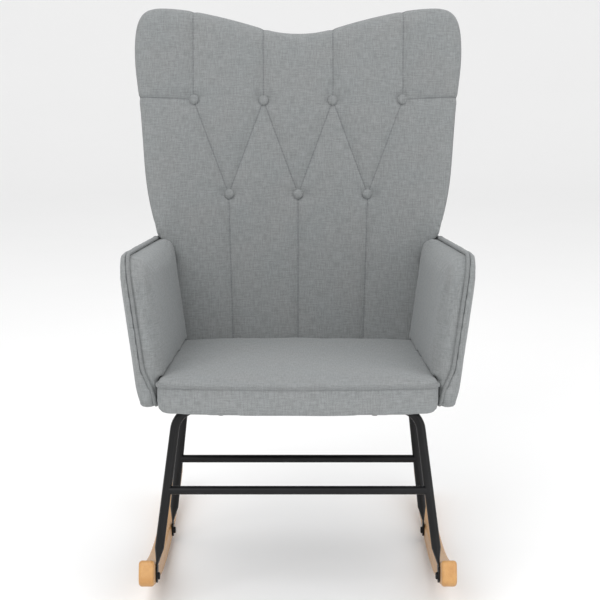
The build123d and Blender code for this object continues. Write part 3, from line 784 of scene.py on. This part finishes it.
def button_spots():
    """The middle of each CAD button in the back's panel frame, upper row first, left to right."""
    shape = copy_of_nodes(["tufting_buttons"])
    left = set(shape.verts)
    middles = []
    while left:
        island = joined_to([next(iter(left))])
        left.difference_update(island)
        panel = to_panel([vert.co for vert in island], BACK_PLACE, BACK_AXES)
        middles.append((panel.min(axis=0) + panel.max(axis=0)) / 2)
    shape.free()
    middle_height = np.mean([spot[1] for spot in middles])
    upper = sorted((spot for spot in middles if spot[1] > middle_height), key=lambda spot: spot[0])
    lower = sorted((spot for spot in middles if spot[1] < middle_height), key=lambda spot: spot[0])
    return upper, lower


def seam_lines():
    """Straight seams between the buttons and on to the back's edges, in the panel's plane."""
    upper, lower = button_spots()
    seams = []
    for spot in upper:
        seams.append((spot[:2], (spot[0] * 1.003, 0.670)))
    for spot in (upper[0], upper[-1]):
        seams.append((spot[:2], (math.copysign(0.31, spot[0]), spot[1] + 0.003)))
    for index, spot in enumerate(lower):
        seams.append((upper[index][:2], spot[:2]))
        seams.append((upper[index + 1][:2], spot[:2]))
        seams.append((spot[:2], (spot[0] * 0.93, 0.02)))
    return [(tuple(map(float, start)), tuple(map(float, end))) for start, end in seams]


def seam_distances(panel, seams):
    """Distance from each position to the nearest seam, in the panel's plane."""
    nearest = np.full(len(panel), 1.0)
    for start, end in seams:
        run = np.subtract(end, start)
        offset = panel[:, :2] - np.array(start)
        share = np.clip(offset @ run / (run @ run), 0.0, 1.0)
        gap = np.linalg.norm(offset - share[:, None] * run, axis=1)
        nearest = np.minimum(nearest, gap)
    return nearest


def button_distances(panel):
    upper, lower = button_spots()
    gaps = [np.hypot(panel[:, 0] - spot[0], panel[:, 1] - spot[1]) for spot in upper + lower]
    return np.min(gaps, axis=0)


# ---- operators ----

class CHAIR_OT_stage(bpy.types.Operator):
    """Set up the floor, the soft lights and the camera"""

    bl_idname = "chair.stage"
    bl_label = "Stage"

    def execute(self, context):
        settings = context.scene.chair_stage
        self.add_backdrop(settings)
        self.add_lights(context, settings)
        self.add_camera(context, settings)
        return {"FINISHED"}

    def add_backdrop(self, settings):
        """A pale floor that sweeps up behind the chair."""
        shape = bmesh.new()
        bmesh.ops.create_grid(shape, x_segments=1, y_segments=1, size=BACKDROP_SIZE)
        rear = [edge for edge in shape.edges if all(vert.co.y > 0.0 for vert in edge.verts)]
        centre = (0.0, BACKDROP_SIZE, BACKDROP_SIZE / 2)
        bmesh.ops.spin(
            shape, geom=rear, cent=centre, axis=(1.0, 0.0, 0.0), angle=math.radians(90.0),
            steps=16, use_duplicate=False,
        )
        bmesh.ops.recalc_face_normals(shape, faces=shape.faces)
        mesh = mesh_from(shape, "backdrop")
        mesh.shade_smooth()
        backdrop = bpy.data.objects.new("backdrop", mesh)
        bpy.context.scene.collection.objects.link(backdrop)
        material, nodes, shader = new_material("pale_floor", Roughness=0.85)
        spot = nodes.add("ShaderNodeTexCoord").outputs["Object"]
        pale = settings.floor_colour[:]
        cloudy = tuple(channel * 0.985 for channel in pale)
        nodes.join(nodes.mix(nodes.noise(spot, 3.0), pale, cloudy), shader, "Base Color")
        mesh.materials.append(material)

    def add_lights(self, context, settings):
        """One large soft key in front and above, a fill opposite it, and an even sky."""
        lamps = (
            ("key", (-1.5, -2.9, 2.6), 2.4, settings.key_power),
            ("fill", (2.0, -2.4, 1.6), 2.4, settings.key_power * 0.5),
            ("top", (0.0, 0.3, 3.0), 2.6, settings.key_power * 0.35),
        )
        for name, spot, size, power in lamps:
            light = bpy.data.lights.new(name, "AREA")
            light.shape = "SQUARE"
            light.size = size
            light.energy = power
            lamp = bpy.data.objects.new(name, light)
            context.scene.collection.objects.link(lamp)
            lamp.location = spot
            aim = LIGHT_AIM - Vector(spot)
            lamp.rotation_euler = aim.to_track_quat("-Z", "Y").to_euler()
        world = bpy.data.worlds.new("sky")
        world.use_nodes = True
        sky = world.node_tree.nodes["Background"]
        sky.inputs["Color"].default_value = (1.0, 1.0, 1.0, 1.0)
        sky.inputs["Strength"].default_value = settings.sky_strength
        context.scene.world = world
        context.scene.view_settings.view_transform = "Standard"

    def add_camera(self, context, settings):
        """A long lens a little above the arms, tipped slightly down."""
        camera = bpy.data.cameras.new("camera")
        camera.lens = settings.lens
        camera.sensor_width = CAMERA_SENSOR
        carrier = bpy.data.objects.new("camera", camera)
        context.scene.collection.objects.link(carrier)
        carrier.location = CAMERA_PLACE
        carrier.rotation_euler = (math.radians(90.0) + CAMERA_PITCH, 0.0, 0.0)
        context.scene.camera = carrier


class CHAIR_OT_rockers(bpy.types.Operator):
    """Give the rockers their wood"""

    bl_idname = "chair.rockers"
    bl_label = "Rockers"

    def execute(self, context):
        give(wood_material(context.scene.chair_finishes), "left_rocker", "right_rocker")
        return {"FINISHED"}


class CHAIR_OT_steel(bpy.types.Operator):
    """Coat the leg frames, the stretchers and the bolts"""

    bl_idname = "chair.steel"
    bl_label = "Leg frames"

    def execute(self, context):
        settings = context.scene.chair_finishes
        tubes = ("front_leg_frame", "rear_leg_frame", "front_stretcher", "rear_stretcher")
        give(coated_steel("powder_coat", settings, 0.34), *tubes)
        bolts = ("rocker_bolts", "leg_bolts", "arm_bolts", "back_bolts")
        give(coated_steel("black_oxide", settings, 0.26), *bolts)
        return {"FINISHED"}


class CHAIR_OT_inner_parts(bpy.types.Operator):
    """Finish the boards, inserts, nuts and ties inside the padding"""

    bl_idname = "chair.inner_parts"
    bl_label = "Inner parts"

    def execute(self, context):
        give(ply_material(), "seat_board", "back_board", "left_arm_board", "right_arm_board")
        metal = ("rocker_inserts", "leg_tee_nuts", "arm_inserts", "back_inserts")
        give(plated_steel(), *metal)
        give(twine_material(), "button_ties")
        return {"FINISHED"}


class CHAIR_OT_dust_cover(bpy.types.Operator):
    """Stretch the thin lining under the seat"""

    bl_idname = "chair.dust_cover"
    bl_label = "Dust cover"

    def execute(self, context):
        shape = copy_of_nodes(["dust_cover"])
        mesh = mesh_from(shape, "seat_lining")
        lining = new_piece("seat_lining", mesh, "dust_cloth", ["dust_cover"])
        lining.data.materials.append(lining_material())
        return {"FINISHED"}


class CHAIR_OT_seat(bpy.types.Operator):
    """Pad the seat and sew its piping"""

    bl_idname = "chair.seat"
    bl_label = "Seat"

    def execute(self, context):
        settings = context.scene.chair_upholstery
        pad = padding("seat_pad", ["seat_cushion"], PANEL_VOXEL, "upholstery", ["seat_cushion"])
        spots = spots_of(pad.data)
        panel = to_panel(spots, SEAT_PLACE, SEAT_AXES)
        touching = [
            "seat_board", "back_cushion", "left_arm_inner_pad", "right_arm_inner_pad", "dust_cover",
        ]
        held = near_nodes(spots, touching, 0.006)
        held |= np.abs(panel[:, 2] - SEAT_WELT_HEIGHT) < 0.004
        held |= panel[:, 2] < 0.003
        swell(pad, held, settings.seat_swell)
        subdivide(pad)
        add_unevenness(pad, 0.0007, 0.07, 3.0)
        finish_soft(pad, shared("heather_cloth", cloth_material, settings))
        rim = rim_of_node("seat_welt", SEAT_PLACE, SEAT_AXES, SEAT_WELT_HEIGHT + 0.003)
        line = rim.points + rim.inwards * (settings.piping_diameter / 2 - 0.0004)
        path = np.column_stack([line, np.full(len(line), SEAT_WELT_HEIGHT)])
        path = from_panel(path, SEAT_PLACE, SEAT_AXES)
        cord = piping("seat_piping", path, True, settings.piping_diameter, "welt", ["seat_welt"])
        finish_soft(cord, shared("piping_cloth", cloth_material, settings, tone=PIPING_TONE))
        return {"FINISHED"}


class CHAIR_OT_back(bpy.types.Operator):
    """Pad, pleat and pipe the back, and cover its rear"""

    bl_idname = "chair.back"
    bl_label = "Back"

    def execute(self, context):
        settings = context.scene.chair_upholstery
        rim = rim_of_node("back_cushion", BACK_PLACE, BACK_AXES, 0.0)
        self.add_pad(settings, rim)
        self.add_cover(settings, rim)
        self.add_piping(settings, rim)
        return {"FINISHED"}

    def add_pad(self, settings, rim):
        """The front padding, rounded at its edge, puffed out and pleated."""
        fillers = ["back_cushion", "tufting_buttons", "button_ties"]
        pad = padding("back_pad", fillers, PANEL_VOXEL, "upholstery", ["back_cushion"])
        panel = snap_depth(to_panel(spots_of(pad.data), BACK_PLACE, BACK_AXES), 0.0)
        free = smooth_step(panel[:, 1], *BACK_FREE_HEIGHTS)
        radius = BACK_ROUND_BESIDE_ARMS + (BACK_ROUND - BACK_ROUND_BESIDE_ARMS) * free
        panel = round_over(panel, rim, radius, 0.0, 1.0)
        panel = self.fill_out(panel)
        set_spots(pad.data, from_panel(panel, BACK_PLACE, BACK_AXES))
        seams = seam_lines()
        held = panel[:, 2] > 0.012
        held |= seam_distances(panel, seams) < 0.003
        held |= button_distances(panel) < 0.013
        swell(pad, held, settings.back_swell)
        subdivide(pad)
        self.press_seams(pad, settings, seams, rim)
        add_unevenness(pad, 0.0006, 0.06, 7.0)
        material = cloth_material("pleated_cloth", settings, seams=seams)
        finish_soft(pad, material)

    def fill_out(self, panel):
        """Let the foam's sides spread until they lie against the arms."""
        height = panel[:, 1]
        beside_arms = smooth_step(height, 0.05, 0.12) * (1.0 - smooth_step(height, 0.235, 0.275))
        side = smooth_step(np.abs(panel[:, 0]), 0.10, 0.19)
        panel[:, 0] += np.sign(panel[:, 0]) * BACK_SPREAD * beside_arms * side
        return panel

    def press_seams(self, pad, settings, seams, rim):
        """Sink the pleats and the dimples, and nick the edge where a pleat reaches it."""
        panel = to_panel(spots_of(pad.data), BACK_PLACE, BACK_AXES)
        front = np.clip((0.016 - panel[:, 2]) / 0.010, 0.0, 1.0)
        gap = seam_distances(panel, seams)
        soft = 0.45 * np.exp(-((gap / 0.010) ** 2))
        sharp = 0.55 * np.exp(-gap / 0.0025)
        dimple = np.exp(-((button_distances(panel) / 0.015) ** 2))
        sink = np.maximum(settings.seam_depth * (soft + sharp), settings.button_depth * dimple)
        panel[:, 2] += sink * front
        inset, inwards = rim.inset(panel)
        nick = PAD_NICK * np.exp(-((gap / 0.004) ** 2)) * np.clip(1.0 - inset / 0.02, 0.0, 1.0)
        nick *= panel[:, 1] > EDGE_NICK_HEIGHT
        panel[:, :2] += inwards * nick[:, None]
        set_spots(pad.data, from_panel(panel, BACK_PLACE, BACK_AXES))

    def add_cover(self, settings, rim):
        """The rear cover, drawn over the board and rounded at its edge."""
        replaced = ["back_outer_cover"]
        cover = padding("back_cover", replaced, COVER_VOXEL, "upholstery", replaced)
        panel = to_panel(spots_of(cover.data), BACK_PLACE, BACK_AXES)
        thick = layer_depth(panel[:, 0], BACK_COVER_END)
        panel = snap_depth(panel, thick)
        lip = 1.0 - smooth_step(panel[:, 2], 0.034, 0.044)
        panel[:, 2] -= COVER_LIP * lip + thick
        panel = round_over(panel, rim, COVER_ROUND, 0.0, -1.0)
        panel[:, 2] += thick
        set_spots(cover.data, from_panel(panel, BACK_PLACE, BACK_AXES))
        swell(cover, panel[:, 2] < 0.042, settings.arm_swell)
        add_unevenness(cover, 0.0006, 0.08, 11.0)
        finish_soft(cover, shared("heather_cloth", cloth_material, settings))

    def add_piping(self, settings, rim):
        """The corded seam between the front padding and the rear cover."""
        radius = settings.piping_diameter / 2
        line = rim.points + rim.inwards * (radius - 0.0018)
        seams = seam_lines()
        panel = np.column_stack([line, np.full(len(line), BACK_WELT_DEPTH)])
        gap = seam_distances(panel, seams)
        nick = PIPING_NICK * np.exp(-((gap / 0.005) ** 2)) * (panel[:, 1] > EDGE_NICK_HEIGHT)
        panel[:, :2] += rim.inwards * nick[:, None]
        path = from_panel(panel, BACK_PLACE, BACK_AXES)
        cord = piping("back_piping", path, True, settings.piping_diameter, "welt", ["back_welt"])
        # Painted shade: the back's piping takes a darker cloth for the shaded underside of its
        # cord.
        material = shared("shaded_piping_cloth", cloth_material, settings, tone=PAINTED_SHADE_PIPING_TONE)
        finish_soft(cord, material)


class CHAIR_OT_buttons(bpy.types.Operator):
    """Cover and place the tufting buttons"""

    bl_idname = "chair.buttons"
    bl_label = "Buttons"

    def execute(self, context):
        settings = context.scene.chair_upholstery
        upper, lower = button_spots()
        shape = bmesh.new()
        for across, height, depth in upper + lower:
            slant = Matrix.Rotation(math.asin(across / BACK_RADIUS), 4, "Z")
            local = Vector((across, depth + float(back_sag(across)), height))
            facing = slant @ Matrix.Rotation(math.radians(90), 4, "X")
            self.add_button(shape, BACK_PLACE @ Matrix.Translation(local) @ facing)
        mesh = mesh_from(shape, "buttons")
        buttons = new_piece("buttons", mesh, "upholstery", ["tufting_buttons"])
        finish_soft(buttons, shared("heather_cloth", cloth_material, settings))
        return {"FINISHED"}

    def add_button(self, shape, place):
        """Turn a domed, rolled-edge profile round the button's axis."""
        points = [Vector((radius, 0.0, rise)) / 1000 for radius, rise in BUTTON_PROFILE]
        verts = [bmesh.ops.create_vert(shape, co=point)["vert"][0] for point in points]
        edges = [shape.edges.new(pair) for pair in zip(verts, verts[1:])]
        bmesh.ops.spin(
            shape, geom=verts + edges, cent=(0, 0, 0), axis=(0, 0, 1), angle=math.tau,
            steps=BUTTON_STEPS, use_merge=True, use_duplicate=False,
        )
        whole = joined_to(verts)
        bmesh.ops.remove_doubles(shape, verts=whole, dist=MERGE_DISTANCE)
        whole = [vert for vert in whole if vert.is_valid]
        faces = list({face for vert in whole for face in vert.link_faces})
        bmesh.ops.recalc_face_normals(shape, faces=faces)
        bmesh.ops.transform(shape, matrix=place, verts=whole)


class CHAIR_OT_arms(bpy.types.Operator):
    """Pad both arms and sew their piping"""

    bl_idname = "chair.arms"
    bl_label = "Arms"

    def execute(self, context):
        settings = context.scene.chair_upholstery
        material = shared("heather_cloth", cloth_material, settings)
        rim = rim_of_node("right_arm_outer_pad", ARM_PLACE, ARM_AXES, 0.0)
        for layer, voxel in ARM_VOXELS.items():
            node = f"right_arm_{layer}"
            pad = padding(node + "ding", [node], voxel, "upholstery", [node])
            spots = spots_of(pad.data)
            touching = [
                "right_arm_board", "right_arm_welt",
                "seat_cushion", "back_cushion", "back_outer_cover",
            ]
            held = near_nodes(spots, touching, 0.004)
            panel = to_panel(spots, ARM_PLACE, ARM_AXES)
            held |= np.abs(panel[:, 2]) < 0.003
            if layer == "inner_pad":
                panel = self.pillow(panel, rim)
            set_spots(pad.data, from_panel(self.tuck(panel), ARM_PLACE, ARM_AXES))
            swell(pad, held, settings.arm_swell)
            add_unevenness(pad, 0.0006, 0.06, 5.0)
            other = mirrored_piece(pad, f"left_arm_{layer}ding", [f"left_arm_{layer}"])
            finish_soft(pad, material)
            finish_soft(other, material)
        self.add_piping(settings)
        return {"FINISHED"}

    def pillow(self, panel, rim):
        """Thin the inner pad towards its piping, so that it swells out like a pillow."""
        seen = np.column_stack([np.minimum(panel[:, 0], 0.40), np.maximum(panel[:, 1], 0.045)])
        inset, _ = rim.inset(seen)
        share = np.clip(inset / ARM_PILLOW_WIDTH, 0.0, 1.0)
        dome = np.sqrt(1.0 - (1.0 - share) ** 2)
        fullness = ARM_EDGE_FULLNESS + (1.0 - ARM_EDGE_FULLNESS) * dome
        fullness += (1.0 - fullness) * smooth_step(panel[:, 0], 0.35, 0.43)
        panel[:, 2] = np.where(panel[:, 2] < -0.006, panel[:, 2] * fullness, panel[:, 2])
        return panel

    def tuck(self, panel):
        """Draw the front foot of the arm in to the side of the seat."""
        low = 1.0 - smooth_step(panel[:, 1], 0.012, 0.066)
        front = 1.0 - smooth_step(panel[:, 0], 0.02, 0.09)
        depth = panel[:, 2]
        thick = np.where(depth > 0, ARM_OUTER_THICKNESS, ARM_INNER_THICKNESS)
        hold = np.clip(1.0 - np.abs(depth) / thick, 0.0, 1.0)
        panel[:, 2] = depth - ARM_TUCK * low * front * hold
        return panel

    def add_piping(self, settings):
        """Piping round the arm's edge, open where the seat and the back meet the arm."""
        rim = rim_of_node("right_arm_outer_pad", ARM_PLACE, ARM_AXES, 0.0)
        radius = settings.piping_diameter / 2
        line = rim.points + rim.inwards * (radius - 0.0006)
        panel = np.column_stack([line, np.full(len(line), -radius)])
        path = from_panel(panel, ARM_PLACE, ARM_AXES)
        kept = near_nodes(path, ["right_arm_welt"], 0.0036)
        path = from_panel(self.tuck(panel), ARM_PLACE, ARM_AXES)
        start = max(range(len(kept)), key=lambda index: self.run_from(kept, index))
        length = self.run_from(kept, start)
        path = np.roll(path, -start, axis=0)[:length]
        closed = length == len(kept)
        material = shared("piping_cloth", cloth_material, settings, tone=PIPING_TONE)
        cord = piping(
            "right_arm_piping", path, closed, settings.piping_diameter, "welt", ["right_arm_welt"]
        )
        other = mirrored_piece(cord, "left_arm_piping", ["left_arm_welt"])
        finish_soft(cord, material)
        finish_soft(other, material)

    def run_from(self, kept, start):
        """How many places in a row are kept, going on from one of them."""
        if kept.all():
            return len(kept)
        ahead = np.roll(kept, -start)
        return int(np.argmin(ahead))


class CHAIR_PT_panel(bpy.types.Panel):
    """Every step of the chair, in the sidebar"""

    bl_idname = "CHAIR_PT_panel"
    bl_label = "Rocking chair"
    bl_space_type = "VIEW_3D"
    bl_region_type = "UI"
    bl_category = "Chair"

    def draw(self, context):
        layout = self.layout
        for settings in SETTINGS:
            group = getattr(context.scene, settings)
            for name in type(group).__annotations__:
                layout.prop(group, name)
        for step in STEPS:
            layout.operator(step.bl_idname)


STEPS = (
    CHAIR_OT_stage,
    CHAIR_OT_rockers,
    CHAIR_OT_steel,
    CHAIR_OT_inner_parts,
    CHAIR_OT_dust_cover,
    CHAIR_OT_seat,
    CHAIR_OT_back,
    CHAIR_OT_buttons,
    CHAIR_OT_arms,
)
SETTINGS = {
    "chair_upholstery": ChairUpholstery,
    "chair_finishes": ChairFinishes,
    "chair_stage": ChairStage,
}


def register():
    for name, group in SETTINGS.items():
        bpy.utils.register_class(group)
        setattr(bpy.types.Scene, name, PointerProperty(type=group))
    for step in (*STEPS, CHAIR_PT_panel):
        bpy.utils.register_class(step)


def unregister():
    for step in reversed((*STEPS, CHAIR_PT_panel)):
        bpy.utils.unregister_class(step)
    for name, group in SETTINGS.items():
        delattr(bpy.types.Scene, name)
        bpy.utils.unregister_class(group)


def main():
    register()
    for step in STEPS:
        family, name = step.bl_idname.split(".")
        getattr(getattr(bpy.ops, family), name)()
    bpy.context.view_layer.update()


if __name__ == "__main__":
    main()
